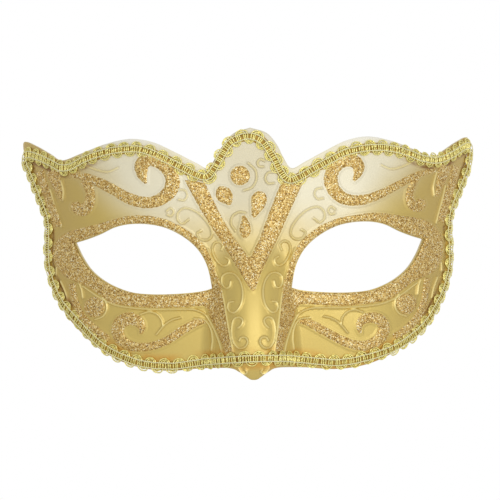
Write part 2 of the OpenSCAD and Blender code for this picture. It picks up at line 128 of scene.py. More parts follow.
TEMPLE_LINE_LEFT = [
    (-83.3, 32.6, 3.2), (-81.7, 26.6, 3.2), (-79.8, 20.4, 3.4), (-77.9, 14.8, 3.6), (-76.2, 10.2, 3.2)]
CHEEK_SCROLL_RIGHT = [
    (43.5, -33.8, 1), (42.9, -30.9, 2.6), (44.5, -28.4, 3.8), (48, -27.5, 4.2), (51.6, -28.7, 4.6),
    (53, -32, 4.8), (51, -36.2, 4.6), (46.4, -38.6, 4.2), (40.6, -38.3, 3.8), (35.6, -36.4, 3.6),
    (31.3, -34.1, 3.5), (27, -31.7, 3.5), (23.6, -29.8, 3.2), (20.6, -28.9, 2.2), (18.6, -29, 1)]
CHEEK_SCROLL_LEFT = [
    (-44.2, -33.2, 1), (-43.9, -30.6, 2.8), (-45.5, -28.1, 4.2), (-48.8, -27, 5.2), (-52.2, -28.5, 5.2),
    (-53.5, -32, 4.8), (-51.8, -35.8, 4.4), (-47.6, -38.1, 3.8), (-41.6, -38.3, 3.3), (-36, -36.8, 3.3),
    (-32.2, -34.7, 3.3), (-28, -31.9, 3.4), (-24, -29.7, 3.2), (-20.6, -28.5, 2.4), (-18.4, -28.7, 1)]
SIDE_BRANCH_RIGHT = [
    (71.1, -12, 2.6), (70.9, -15, 2.8), (70.3, -18.8, 2.8), (69, -24, 3.2), (66.2, -28.8, 3.4),
    (62, -32.8, 3.4), (57, -35.6, 2.6)]
SIDE_BRANCH_LEFT = [
    (-71, -12.6, 2.6), (-70.8, -15.4, 2.6), (-70.2, -18.8, 2.5), (-68.6, -23.6, 2.8), (-65.6, -28.2, 3.2),
    (-61.2, -32.2, 3.2), (-56.8, -35.3, 2.4)]
CHEEK_SPOT = (62.4, -22.2, 4.1)

# Forehead glitter
CHEVRON_OUTER = [
    (-26.4, 28.4), (-21.4, 18.6), (-16, 9.4), (-10.8, 1.4), (-5.4, -8), (0, -16.4), (3.7, -8.8),
    (8.2, 0.2), (11.3, 6.2), (14.3, 12.8), (20.8, 26.4)]
CHEVRON_INNER = [
    (-18.4, 27), (-14.8, 19.6), (-11, 11.8), (-7, 5.2), (-3.4, 0), (-1, -3), (1, 0.2), (3.4, 5),
    (5.8, 11.2), (8.4, 18), (12.2, 27)]
ROUND_SPOT = (-4.2, 29.8, 3.9)
TAILED_SPOT = [
    (-13.2, 25, 1.6), (-12.5, 24.2, 4.2), (-11.3, 22.8, 6.2), (-9.9, 21, 5.8), (-9, 19.4, 3.6),
    (-8.4, 18, 1)]
TEARDROP_SPOT = [
    (3.7, 23.4, 1.6), (3.6, 22.5, 4.4), (3.3, 20.6, 6.2), (2.8, 18.4, 5.8), (2, 16.2, 4.2),
    (1.3, 14.4, 2.6), (0.8, 13, 1)]
CRESCENT_SPOT = [
    (-3.2, 13.8, 1), (-2.7, 11.8, 2.6), (-2.5, 9.4, 4.2), (-2.6, 7.2, 4.5), (-2.8, 5.6, 2.9),
    (-3, 4.8, 1)]

# Embossed lines of the right half that carry no glitter
RIDGES = [
    # scrolls down the side of the nose
    [(11.8, 0.2), (11.2, 2), (12.8, 3.4), (14.8, 2.8), (15.6, 0.6), (14.9, -2.2), (13.3, -4.8),
     (11.1, -6.3), (9.3, -5.8), (8.9, -4), (10.3, -2.8)],
    [(8.4, -12.6), (8.9, -14.7), (10.6, -15.1), (11.8, -13.1), (11.6, -10.6), (9.6, -9.2), (7.1, -9.6),
     (5, -12.2), (4, -16), (4.1, -19.6), (5.1, -22.7), (6.9, -24.8), (8.8, -24.7), (9.7, -22.9),
     (9.2, -21), (7.6, -20.6)],
    [(5.8, -31), (4.6, -29.8), (4.2, -28), (5.6, -26.8), (7.4, -27.6), (8.2, -30), (8.4, -33.6),
     (7.6, -37), (5.8, -39.1), (3.7, -38.8), (2.4, -36.8), (3.1, -35), (4.8, -34.9), (5.6, -36.1)],
    # small curl on the nose tip
    [(6, -46.8), (4.8, -48.6), (3.4, -49.2), (2.7, -48.3), (3.4, -47.6)],
    # border between the nose and the band of glitter beside it
    [(17.4, 0.4), (14.6, -8), (12, -16), (11, -21), (10.3, -26.2), (9.2, -33.3), (8, -40.4)],
    # border under the eye rim, down to the braid
    [(66.8, -13.9), (63.2, -16.5), (59.6, -18.9), (54, -21.5), (47, -22.8), (38, -23.4), (30, -23.4),
     (23.4, -23.6), (19.2, -25.3), (16.8, -28.2), (14.9, -32), (13.2, -36.6), (12.2, -40.6)],
    # oval round the tail of the cheek scroll
    [(23, -27.2), (18.8, -28), (16.5, -31), (15.7, -35.4), (16.2, -40)],
    # fork above the cheek scroll
    [(44.2, -25.2), (41, -24.3), (38, -25.2), (36.1, -27.4), (35.6, -29.8)],
    [(38, -33.2), (34.8, -29.5), (31.8, -27.6), (28.8, -26.8)],
    # scroll between the chevron and the eye rim
    [(25, 12.4), (27.4, 10.8), (29.3, 12.6), (28.9, 15.4), (26.4, 17), (22.4, 15.8), (18.8, 12.8),
     (16.2, 9), (15.8, 6), (17.6, 4.2), (20.4, 4.6), (21.6, 6.8), (20, 8)],
    [(28.4, 24.4), (26.2, 24), (25.4, 22), (26.6, 20.2), (28.8, 20.4)],
    [(33.6, 16), (32, 17), (30.8, 15.6), (31.8, 14), (33.4, 14.4)],
    # crease over the brow scroll
    [(52.6, 33.4), (56.4, 31.9), (60.6, 32.6), (65.6, 34.6)],
    # edges of the temple strokes that face the nose
    [(75.6, 30.6), (74.1, 25), (74.3, 21)],
    [(79.2, 25.2), (77.8, 19.6), (76.1, 14), (75, 10)],
    # short lines on the cheek, towards the side
    [(68.2, -12.6), (67.3, -15.4), (66.9, -18.4)],
    [(77, -5.8), (77.2, -9.2)],
    [(75.4, -11.8), (73.7, -16), (72.7, -20)],
    # edge of the cheek spot that faces the nose
    [(62.2, -27.2), (59.2, -26), (57.6, -23.4), (57.8, -20.4), (59.2, -18.4)],
]

FOREHEAD_RIDGES = [
    # ring round the round spot, and small curls beside it
    [(-0.8, 34.6), (1.9, 31.8), (2.2, 28), (0.4, 25), (-2.8, 23.8)],
    [(5.2, 33.2), (3.4, 33.4), (2.8, 35), (4, 36.2), (5.6, 35.6)],
    [(9.4, 31), (7, 30.8), (5.8, 28.8), (6.8, 26.6), (9.2, 26.6)],
    # curl round the crescent spot
    [(-2.2, 14.8), (-4.7, 15.2), (-7.4, 13.6), (-8, 10.4), (-6.4, 7.8)],
]

# Embossed lines, and the raised pad with a rim round it that each patch of glitter lies on
RIDGE_W = 0.7
RIDGE_H = 0.75
PAD_H = 0.3
RIM_W = 0.4
RIM_H = 0.3
RIM_OUT = 0.5

PROBE = 0.05


def ease(t):
    """Smooth step from 0 to 1."""
    t = np.clip(t, 0, 1)
    return t * t * (3 - 2 * t)


def relief(x, z):
    """Depth of the smooth face before the frame is set on the bridge."""
    sink = ease((NOSE_TOP - z) / (NOSE_TOP - NOSE_CREST))
    curl = np.sqrt(1 - np.clip((NOSE_CREST - z) / NOSE_CURL, 0, 0.99) ** 2)
    half_w = NOSE_BRIDGE_W + (NOSE_BASE_W - NOSE_BRIDGE_W) * sink
    across = np.minimum(np.abs(x) / half_w, 1)
    nose = NOSE_H * sink * curl * np.cos(math.pi / 2 * across ** NOSE_FLATNESS) ** 2
    eye_x, eye_z, eye_rx, eye_rz, depth = SOCKET
    socket = depth * np.exp(-((np.abs(x) - eye_x) / eye_rx) ** 2 - ((z - eye_z) / eye_rz) ** 2)
    return WRAP_DEPTH * (np.abs(x) / HALF_W) ** WRAP_POWER + LEAN * (z / HALF_H) ** 2 + socket - nose


def face_y(x, z):
    """Depth of the shell's front, with the back of the bridge at 0."""
    return relief(x, z) - relief(0.0, 0.0) - SHELL_T


def normals(x, z):
    """Unit normals of the face, pointing out of its front."""
    slope_x = (face_y(x + PROBE, z) - face_y(x - PROBE, z)) / (2 * PROBE)
    slope_z = (face_y(x, z + PROBE) - face_y(x, z - PROBE)) / (2 * PROBE)
    return unit(np.stack([slope_x, -np.ones_like(slope_x), slope_z], -1))


def lay(flat, h):
    """Lays flat points on the face, h proud of it."""
    x, z = flat[:, 0], flat[:, 1]
    return np.stack([x, face_y(x, z), z], -1) + np.reshape(h, (-1, 1)) * normals(x, z)


# ---------------------------------------------------------------------------------------------------------
# Curves
# ---------------------------------------------------------------------------------------------------------


FOLD = 0.05  # slack when the points that fold over inside a tight curl are dropped


def unit(vectors):
    return vectors / np.linalg.norm(vectors, axis=-1, keepdims=True)


def curve(points, step, closed=False):
    """Smooth curve through the points, with a point about every step."""
    p = np.array(points, float)
    if closed:
        p = np.vstack([p[-1:], p, p[:2]])
    else:
        p = np.vstack([2 * p[0] - p[1], p, 2 * p[-1] - p[-2]])
    out = []
    for a, b, c, d in zip(p[:-3], p[1:-2], p[2:-1], p[3:]):
        n = max(1, round(float(np.linalg.norm((c - b)[:2])) / step))
        f = np.arange(n)[:, None] / n
        out.append((2 * b + (c - a) * f + (2 * a - 5 * b + 4 * c - d) * f ** 2
                    + (3 * b - a - 3 * c + d) * f ** 3) / 2)
    if not closed:
        out.append(p[-2][None])
    return np.vstack(out)


def mirrored(points):
    """The same points on the other half of the face."""
    return [(-p[0],) + tuple(p[1:]) for p in points]


def circle(spot, step):
    """Loop round a spot of x, z and radius."""
    x, z, r = spot
    t = np.linspace(0, 2 * math.pi, max(8, round(2 * math.pi * r / step)), endpoint=False)
    return np.stack([x + r * np.cos(t), z + r * np.sin(t)], -1)


def evenly(loop, step):
    """Points round a loop, the same distance apart."""
    ring = np.vstack([loop, loop[:1]])
    run = np.concatenate([[0], np.cumsum(np.linalg.norm(np.diff(ring, axis=0), axis=1))])
    at = np.linspace(0, run[-1], round(run[-1] / step), endpoint=False)
    return np.stack([np.interp(at, run, ring[:, 0]), np.interp(at, run, ring[:, 1])], -1)


def nearest(points):
    """Function giving the distance of points, flat or not, from the nearest of these."""
    def padded(p):
        return np.hstack([p, np.zeros((len(p), 3 - p.shape[1]))]).tolist()

    tree = KDTree(len(points))
    for i, p in enumerate(padded(points)):
        tree.insert(p, i)
    tree.balance()
    return lambda others: np.array([tree.find(p)[2] for p in padded(others)])


def stroke_sides(line, step):
    """The middle of a stroke of varying width, half that width, and its two sides."""
    path = curve(line, step)
    middle, half_w = path[:, :2], path[:, 2:] / 2
    ahead = unit(np.gradient(middle, axis=0))
    side = np.stack([ahead[:, 1], -ahead[:, 0]], -1) * half_w
    return middle, half_w[:, 0], middle + side, middle - side


def stroke_edge(line, step):
    """Outline of a stroke as a loop, less the points that fold over inside a tight curl."""
    middle, half_w, right, left = stroke_sides(line, step)
    edge = np.vstack([right, left[::-1]])
    return edge[nearest(middle)(edge) > np.concatenate([half_w, half_w[::-1]]) - FOLD]


# ---------------------------------------------------------------------------------------------------------
# Meshes
# ---------------------------------------------------------------------------------------------------------


EDGE_CLEAR = 0.55
MERGE = 1e-7


def build(name, verts_mm, faces, material, smooth=True, sharp_deg=None):
    """Makes a piece that rides on the mask's one body."""
    mesh = bpy.data.meshes.new(name)
    mesh.from_pydata((verts_mm * MM).tolist(), [], faces.tolist())
    mesh.materials.append(material)
    mesh.polygons.foreach_set("use_smooth", [smooth] * len(mesh.polygons))
    if sharp_deg:
        mesh.set_sharp_from_angle(angle=math.radians(sharp_deg))
    mesh.update()
    piece = bpy.data.objects.new(name, mesh)
    bpy.context.scene.collection.objects.link(piece)
    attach(piece, BODY)
    return piece


def inside_rows(loops, step, rng, jitter):
    """Points of a triangular grid inside the loops (holes left open), kept clear of the edges."""
    edges = np.vstack([np.hstack([loop, np.roll(loop, -1, axis=0)]) for loop in loops])
    low, high = edges[:, 1].min(), edges[:, 1].max()
    clear = step * EDGE_CLEAR
    rows = []
    for j, z in enumerate(np.arange(low + step / 2, high, step * math.sqrt(3) / 2)):
        x0, z0, x1, z1 = edges[(edges[:, 1] > z) != (edges[:, 3] > z)].T
        xs = np.sort(x0 + (z - z0) / (z1 - z0) * (x1 - x0))
        grid = (np.arange(math.floor(xs[0] / step), math.ceil(xs[-1] / step)) + 0.5 * (j % 2)) * step
        for a, b in zip(xs[::2], xs[1::2]):
            row = grid[(grid > a + clear) & (grid < b - clear)]
            rows.append(np.stack([row, np.full(len(row), z)], -1))
    inner = np.vstack(rows)
    return inner + rng.uniform(-jitter, jitter, inner.shape) * step


def triangulate(loops, inner):
    """Triangles over the first loop, less the others. The loops' points come first, then the inner ones."""
    points = np.vstack(loops + [inner])
    edges = []
    start = 0
    for loop in loops:
        n = len(loop)
        edges += [(start + i, start + (i + 1) % n) for i in range(n)]
        start += n
    out = delaunay_2d_cdt([Vector(p) for p in points.tolist()], edges, [], 1, MERGE)
    corners, sources = out[2], out[3]
    tris = np.array([source[0] if source else -1 for source in sources])[np.array(corners)]
    tris = tris[(tris >= 0).all(axis=1)]
    first = len(loops[0])
    for loop in loops[1:]:
        last = first + len(loop)
        rim = ((tris >= first) & (tris < last)).any(axis=1)
        middle = points[tris[rim]].mean(axis=1)
        hole = np.zeros(len(tris), bool)
        hole[np.flatnonzero(rim)[contains(loop, middle)]] = True
        tris = tris[~hole]
        first = last
    a, b, c = points[tris[:, 0]], points[tris[:, 1]], points[tris[:, 2]]
    turn = (b - a)[:, 0] * (c - a)[:, 1] - (b - a)[:, 1] * (c - a)[:, 0]
    tris[turn < 0] = tris[turn < 0][:, ::-1]
    return points, tris


def contains(loop, points):
    """Whether each point is inside the loop."""
    x0, z0 = loop.T
    x1, z1 = np.roll(loop, -1, axis=0).T
    x, z = points[:, :1], points[:, 1:]
    crosses = (z0 > z) != (z1 > z)
    with np.errstate(divide="ignore", invalid="ignore"):
        at = x0 + (z - z0) / (z1 - z0) * (x1 - x0)
    return (crosses & (x < at)).sum(axis=1) % 2 == 1


def walls(loops, start):
    """Faces that join two sheets round their loops, when the second sheet's points begin at start."""
    faces = []
    first = 0
    for loop in loops:
        n = len(loop)
        a = first + np.arange(n)
        b = first + (np.arange(n) + 1) % n
        ahead = np.roll(loop, -1, axis=0)
        anticlockwise = np.sum(loop[:, 0] * ahead[:, 1] - ahead[:, 0] * loop[:, 1]) > 0
        if (first == 0) != anticlockwise:
            a, b = b, a
        faces += [np.stack([a, start + b, b], -1), np.stack([a, start + a, start + b], -1)]
        first += n
    return np.vstack(faces)


def tube(centres, across, up, radius, sides, twist, lobe):
    """Endless tube: rings round the centres in the plane of across and up, two-lobed where lobe isn't 0."""
    n = len(centres)
    angle = np.tile(np.arange(sides) * 2 * math.pi / sides, (n, 1))
    radii = radius * (1 + lobe * np.cos(2 * (angle - np.reshape(twist * np.ones(n), (-1, 1)))))
    rings = (centres[:, None, :] + (radii * np.cos(angle))[..., None] * across[:, None, :]
             + (radii * np.sin(angle))[..., None] * up[:, None, :])
    ring = np.arange(n)[:, None] * sides
    next_ring = np.roll(ring, -1, axis=0)
    side = np.arange(sides)[None, :]
    next_side = np.roll(side, -1, axis=1)
    quads = [ring + side, ring + next_side, next_ring + next_side, next_ring + side]
    return rings.reshape(-1, 3), np.stack(quads, -1).reshape(-1, 4)


def joined(parts):
    """Several (vertices, quads) as one."""
    verts, faces = [], []
    start = 0
    for v, f in parts:
        verts.append(v)
        faces.append(f + start)
        start += len(v)
    return np.vstack(verts), np.vstack(faces)


# ---------------------------------------------------------------------------------------------------------
# Materials, with places in metres
# ---------------------------------------------------------------------------------------------------------


def srgb(r, g, b):
    """Linear colour from 8-bit display values."""
    def linear(c):
        return ((c / 255 + 0.055) / 1.055) ** 2.4

    return (linear(r), linear(g), linear(b), 1.0)


def grey(level):
    return (level, level, level, 1.0)


def set_stops(color_ramp, stops):
    while len(color_ramp.elements) < len(stops):
        color_ramp.elements.new(0.5)
    for element, (at, colour) in zip(color_ramp.elements, stops):
        element.position = at
        element.color = colour


class Nodes:
    """Short hand for building a material's node tree."""

    def __init__(self, name):
        self.material = bpy.data.materials.new(name)
        self.material.use_nodes = True
        self.tree = self.material.node_tree
        self.shader = self.tree.nodes["Principled BSDF"]
        self.coords = self.new("ShaderNodeTexCoord").outputs["Object"]

    def new(self, kind, **settings):
        node = self.tree.nodes.new(kind)
        for key, value in settings.items():
            setattr(node, key, value)
        return node

    def link(self, a, b):
        self.tree.links.new(a, b)

    def fixed(self, **values):
        """Sets sockets of the shader that are the same all over."""
        for key, value in values.items():
            self.shader.inputs[key.replace("_", " ").title().replace("Ior", "IOR")].default_value = value

    def put(self, node, **inputs):
        """Sets or links a node's inputs, given by name or as _ and their number."""
        for key, value in inputs.items():
            socket = node.inputs[key] if key in node.inputs else node.inputs[int(key[1:])]
            if isinstance(value, bpy.types.NodeSocket):
                self.link(value, socket)
            else:
                socket.default_value = value
        return node

    def noise(self, scale, detail=2.0, rough=0.5):
        node = self.new("ShaderNodeTexNoise")
        return self.put(node, Vector=self.coords, Scale=scale, Detail=detail, Roughness=rough).outputs["Fac"]

    def attribute(self, name):
        return self.new("ShaderNodeAttribute", attribute_name=name).outputs["Fac"]

    def ramp(self, value, stops, smooth=False):
        """Colour that a value gives, between stops of value and colour."""
        node = self.new("ShaderNodeValToRGB")
        node.color_ramp.interpolation = "EASE" if smooth else "LINEAR"
        set_stops(node.color_ramp, stops)
        self.link(value, node.inputs["Fac"])
        return node.outputs["Color"]

    def fade(self, value, start, length, levels=(0, 1), smooth=False):
        """Grey that goes from the first level to the second as a value passes from start over length."""
        share = self.math("DIVIDE", self.math("SUBTRACT", value, start), length)
        return self.ramp(share, [(0, grey(levels[0])), (1, grey(levels[1]))], smooth)

    def math(self, operation, a, b=0.0):
        return self.put(self.new("ShaderNodeMath", operation=operation), _0=a, _1=b).outputs[0]

    def mix(self, factor, a, b):
        node = self.new("ShaderNodeMix", data_type="RGBA")
        return self.put(node, _0=factor, _6=a, _7=b).outputs[2]

    def bump(self, height, strength, distance):
        node = self.put(self.new("ShaderNodeBump"), Height=height, Strength=strength, Distance=distance)
        self.link(node.outputs["Normal"], self.shader.inputs["Normal"])


def pearl_cover(n, across, height):
    """How much pearl white covers the gold: all on the brow, none on the cheeks and at the temples."""
    cloud = n.math("MULTIPLY", n.math("SUBTRACT", n.noise(38, 3), 0.5), 0.012)
    above = n.fade(n.math("ADD", height, cloud), -0.009, 0.032, smooth=True)
    aside = n.math("SUBTRACT", n.math("ADD", across, cloud), n.math("MULTIPLY", height, 0.9))
    return n.math("MULTIPLY", above, n.fade(aside, 0.02, 0.03, levels=(1, 0), smooth=True))


def base_colour(n, across, height, pearl):
    """Gold that deepens towards the temples, and pearl that is whiter at the top and duller in the middle."""
    gold = n.mix(n.fade(across, 0.05, 0.03, smooth=True), srgb(219, 193, 107), srgb(206, 178, 99))
    white = n.mix(n.fade(height, 0.0405, 0.004), srgb(234, 226, 197), srgb(240, 236, 220))
    white = n.mix(n.fade(across, 0.006, 0.015, levels=(0.55, 0)), white, srgb(196, 184, 146))
    return n.mix(pearl, gold, white)


def emboss_painted_shade_and_highlight(n, colour, pearl):
    """Painted shade in darker gold on the flanks of the embossed lines, and a painted highlight on their
    crests.
    """
    crest = n.attribute("crest")
    # Painted shade: darker gold on both sides of each embossed line, weaker on the pearl.
    painted_flank_shade = n.ramp(crest, [(0.02, grey(0)), (0.3, grey(0.35)), (0.6, grey(0))])
    painted_flank_shade = n.math("MULTIPLY", painted_flank_shade, n.ramp(pearl, [(0, grey(1)), (1, grey(0.6))]))
    colour = n.mix(painted_flank_shade, colour, srgb(178, 146, 68))
    # Painted highlight: pale gold along the crest of each embossed line.
    painted_crest_highlight = n.ramp(crest, [(0.45, grey(0)), (1, grey(0.8))])
    return n.mix(painted_crest_highlight, colour, srgb(252, 236, 166))


def amber_tint_and_gap_shadow(n, colour, across, height):
    """Patchy amber beside the lower braid, and brown painted shadow in the gap beside it at the temples."""
    patchy = n.ramp(n.noise(90), [(0.4, grey(0)), (0.6, grey(1))])
    under = n.fade(height, -0.028, -0.012)
    # Amber tint on the shell close to the lower braid, broken into patches.
    amber = n.math("MULTIPLY", n.attribute("amber_tint"), patchy)
    amber = n.math("MULTIPLY", amber, n.math("MULTIPLY", under, 0.75))
    colour = n.mix(amber, colour, srgb(214, 158, 56))
    broken = n.ramp(n.noise(110), [(0.4, grey(0.25)), (0.54, grey(0.95))])
    temples = n.fade(across, 0.056, 0.016)
    # Painted shadow: brown in the gap between the braid and the shell at the temples.
    gap_shadow_paint = n.math("MULTIPLY", n.attribute("painted_gap_shadow"), n.math("MULTIPLY", broken, temples))
    return n.mix(gap_shadow_paint, colour, srgb(140, 88, 22))


def shell_material():
    """Satin lacquer on the front of ivory plastic, with a fine spray grain."""
    n = Nodes("shell_lacquer")
    place = n.put(n.new("ShaderNodeSeparateXYZ"), Vector=n.coords)
    across = n.math("ABSOLUTE", place.outputs["X"])
    height = place.outputs["Z"]
    pearl = pearl_cover(n, across, height)
    # The colour carries painted shade and highlight on the embossed lines, and painted shadow in the gap
    # beside the braid.
    colour = amber_tint_and_gap_shadow(n, emboss_painted_shade_and_highlight(n, base_colour(n, across, height, pearl), pearl), across, height)
    painted = n.attribute("painted")
    n.link(n.mix(painted, srgb(226, 216, 190), colour), n.shader.inputs["Base Color"])
    metal = n.ramp(pearl, [(0, grey(0.55)), (1, grey(0.1))])
    n.link(n.math("MULTIPLY", metal, painted), n.shader.inputs["Metallic"])
    grain = n.noise(2600, 2, 0.6)
    n.link(n.ramp(grain, [(0.3, grey(0.4)), (0.7, grey(0.5))]), n.shader.inputs["Roughness"])
    n.bump(grain, 0.12, 0.00012)
    n.fixed(coat_weight=0.4, coat_roughness=0.28)
    return n.material


def glitter_material():
    """Champagne flakes: every cell of a fine pattern is one flake with its own colour."""
    n = Nodes("glitter")
    cells = n.put(n.new("ShaderNodeTexVoronoi"), Vector=n.coords, Scale=2700)
    pick = n.put(n.new("ShaderNodeSeparateColor"), Color=cells.outputs["Color"])
    colour = n.ramp(pick.outputs["Red"], [
        (0.0, srgb(134, 96, 38)), (0.25, srgb(190, 150, 76)), (0.6, srgb(222, 188, 112)),
        (0.85, srgb(244, 220, 148)), (1.0, srgb(255, 248, 212))])
    n.link(colour, n.shader.inputs["Base Color"])
    n.link(n.ramp(pick.outputs["Green"], [(0, grey(0.32)), (1, grey(0.56))]), n.shader.inputs["Roughness"])
    n.bump(pick.outputs["Blue"], 0.4, 0.0002)
    n.fixed(metallic=0.6)
    return n.material


def lurex_material():
    """Braid's greenish gold metallised yarn, with painted shade between its fibres and painted highlight on
    them.
    """
    n = Nodes("gold_lurex")
    fibre = n.noise(5200, 2, 0.7)
    # The bump follows the same noise: the darkest stop is painted shade between fibres, the palest a painted
    # highlight on them.
    colour = n.ramp(fibre, [
        (0.25, srgb(188, 166, 60)), (0.5, srgb(252, 240, 146)), (0.75, srgb(255, 252, 200))])
    n.link(colour, n.shader.inputs["Base Color"])
    n.bump(fibre, 0.4, 0.0002)
    n.fixed(metallic=0.65, roughness=0.32)
    return n.material


def cord_material():
    """Pale twisted cord over the gold strands."""
    n = Nodes("core_cord")
    fibre = n.noise(3800, 3, 0.7)
    colour = n.ramp(fibre, [(0.3, srgb(218, 211, 152)), (0.7, srgb(252, 247, 208))])
    n.link(colour, n.shader.inputs["Base Color"])
    n.bump(fibre, 0.3, 0.0002)
    n.fixed(roughness=0.6, metallic=0.15)
    return n.material


def glue_material():
    """Amber hot-melt adhesive that has darkened between the braid and the shell."""
    n = Nodes("hot_melt_adhesive")
    cloud = n.noise(260)
    colour = n.ramp(cloud, [(0.3, srgb(150, 114, 38)), (0.7, srgb(204, 168, 74))])
    n.link(colour, n.shader.inputs["Base Color"])
    n.bump(cloud, 0.3, 0.0004)
    n.fixed(roughness=0.5, specular_ior_level=0.25)
    return n.material


# ---------------------------------------------------------------------------------------------------------
# Embossed relief
# ---------------------------------------------------------------------------------------------------------

EDGE_STEP = 0.3
RIDGE_STEP = 0.15
EYE_RIM_GAP = 0.3
RIM_FOOT_TOP = -23.6
GRID_GAP = 0.1
PAD_OUT = 0.12
SAME_LINE = 0.04


def eye_loop(margin=0.0):
    """Edge of the right eye opening, grown by a margin."""
    edge = np.vstack([curve(EYE_LOWER, EDGE_STEP)[:-1], curve(EYE_UPPER, EDGE_STEP)[:-1]])
    ahead = unit(np.roll(edge, -2, axis=0) - np.roll(edge, 2, axis=0))
    return edge + margin * np.stack([ahead[:, 1], -ahead[:, 0]], -1)


def rim_loops(line, eye):
    """Outline of an eye rim: its outer edge, closed across the foot beside the nose, and the eye opening."""
    one, other = stroke_sides(line, EDGE_STEP)[2:]
    outer, inner = (one, other) if abs(one[0, 0]) < abs(other[0, 0]) else (other, one)
    foot = inner[:np.argmax(inner[:, 1] > RIM_FOOT_TOP)]
    return [np.vstack([outer, foot[::-1]]), eye]


def glitter_loops():
    """Outline of every piece of glitter, with a hole where it surrounds an eye."""
    strokes = {
        "brow_scroll": (BROW_SCROLL_RIGHT, BROW_SCROLL_LEFT),
        "temple_curl": (TEMPLE_CURL_RIGHT, TEMPLE_CURL_LEFT),
        "temple_wedge": (TEMPLE_WEDGE_RIGHT, TEMPLE_WEDGE_LEFT),
        "temple_line": (TEMPLE_LINE_RIGHT, TEMPLE_LINE_LEFT),
        "cheek_scroll": (CHEEK_SCROLL_RIGHT, CHEEK_SCROLL_LEFT),
        "side_branch": (SIDE_BRANCH_RIGHT, SIDE_BRANCH_LEFT),
    }
    spots = {"tailed_spot": TAILED_SPOT, "teardrop_spot": TEARDROP_SPOT, "crescent_spot": CRESCENT_SPOT}
    cheek_x, cheek_z, cheek_r = CHEEK_SPOT
    eye = eye_loop(EYE_RIM_GAP)
    chevron_outer, chevron_inner = curve(CHEVRON_OUTER, EDGE_STEP), curve(CHEVRON_INNER, EDGE_STEP)
    loops = {
        "eye_rim_glitter_right": rim_loops(EYE_RIM_RIGHT, eye),
        "eye_rim_glitter_left": rim_loops(EYE_RIM_LEFT, eye * (-1, 1)),
        "cheek_spot_glitter_right": [circle((cheek_x, cheek_z, cheek_r), EDGE_STEP)],
        "cheek_spot_glitter_left": [circle((-cheek_x, cheek_z, cheek_r), EDGE_STEP)],
        "round_spot_glitter": [circle(ROUND_SPOT, EDGE_STEP)],
        "chevron_glitter": [np.vstack([chevron_outer, chevron_inner[::-1]])],
    }
    for name, (right, left) in strokes.items():
        loops[name + "_glitter_right"] = [stroke_edge(right, EDGE_STEP)]
        loops[name + "_glitter_left"] = [stroke_edge(left, EDGE_STEP)]
    for name, line in spots.items():
        loops[name + "_glitter"] = [stroke_edge(line, EDGE_STEP)]
    return loops


LOOPS = glitter_loops()


def beside(line, offset):
    """Line moved sideways, to its right when the offset is positive."""
    ahead = unit(np.gradient(line, axis=0))
    return line + offset * np.stack([ahead[:, 1], -ahead[:, 0]], -1)


class Emboss:
    """Moulded pattern over the smooth face."""

    def __init__(self):
        self.ridges = [curve(side, RIDGE_STEP) for line in RIDGES for side in (line, mirrored(line))]
        self.ridges += [curve(line, RIDGE_STEP) for line in FOREHEAD_RIDGES]
        self.edges = [loop for loops in LOOPS.values() for loop in loops]
        self.from_ridge = nearest(np.vstack(self.ridges))
        self.from_edge = nearest(np.vstack(self.edges))

    def inside(self, flat):
        """Whether points are under glitter."""
        found = np.zeros(len(flat), bool)
        for loops in LOOPS.values():
            low, high = loops[0].min(axis=0), loops[0].max(axis=0)
            near = np.flatnonzero(((flat > low) & (flat < high)).all(axis=1))
            if len(near):
                found[near] |= sum(contains(loop, flat[near]).astype(int) for loop in loops) % 2 == 1
        return found

    def line(self, flat):
        """1 on the crest of an embossed line, 0 away from it."""
        return (1 - np.clip(self.from_ridge(flat) / RIDGE_W, 0, 1) ** 2) ** 2

    def height(self, flat):
        """How far the shell's front stands proud of the smooth face."""
        edge, inside = self.from_edge(flat), self.inside(flat)
        rim = RIM_H * (1 - np.clip(np.abs(edge - RIM_OUT) / RIM_W, 0, 1) ** 2) ** 2
        pad = np.where(inside, PAD_H, PAD_H * (1 - ease(edge / RIM_OUT)))
        return np.maximum(RIDGE_H * self.line(flat), np.where(inside, pad, np.maximum(pad, rim)))

    def grid(self, flat):
        """Thins out an even grid near the pattern's lines, and adds points that follow them."""
        clear = self.from_edge(flat) > RIM_OUT + RIM_W + GRID_GAP
        even = flat[clear & (self.from_ridge(flat) > RIDGE_W + GRID_GAP)]
        follow = [beside(line[::2], u * RIDGE_W) for line in self.ridges for u in (-1, -0.5, 0, 0.5, 1)]
        for edge in self.edges:
            for out in (PAD_OUT, RIM_OUT, RIM_OUT + RIM_W):
                both = np.vstack([beside(edge, out), beside(edge, -out)])
                clear = self.from_edge(both) > out - SAME_LINE
                both = both[clear & (self.from_ridge(both) > RIDGE_W + GRID_GAP)]
                follow.append(both[~self.inside(both)])
        return even, np.vstack(follow)


emboss = Emboss()


# ---------------------------------------------------------------------------------------------------------
# Pieces
# ---------------------------------------------------------------------------------------------------------

SHELL_STEP = 0.55
SHELL_JITTER = 0.03
BACK_STEP = 1.3
RIM_STEP = 0.5
RIM_CLEAR = 0.2
HOLE_SIDES = 24
EDGE_DROP = 0.25
EDGE_ROUND = 0.6
BACK_SHARE = 0.5  # of the embossed height, that shows on the back
BACK_MARGIN = 1.5
AMBER_TINT_FROM = 2.6
AMBER_TINT_W = 3.0
# Distance from the braid's middle, and width, of the painted shadow beside the braid.
GAP_SHADOW_FROM = 3.2
GAP_SHADOW_W = 1.2


def tie_hole_loops():
    """Edges of the two tie holes, which run square to the shell."""
    x, z, r = TIE_HOLE
    t = np.linspace(0, 2 * math.pi, HOLE_SIDES, endpoint=False)
    tilt = abs(normals(np.array([x]), np.array([z]))[0, 1])
    return [np.stack([side * (x + r * tilt * np.cos(t)), z + r * np.sin(t)], -1) for side in (1, -1)]


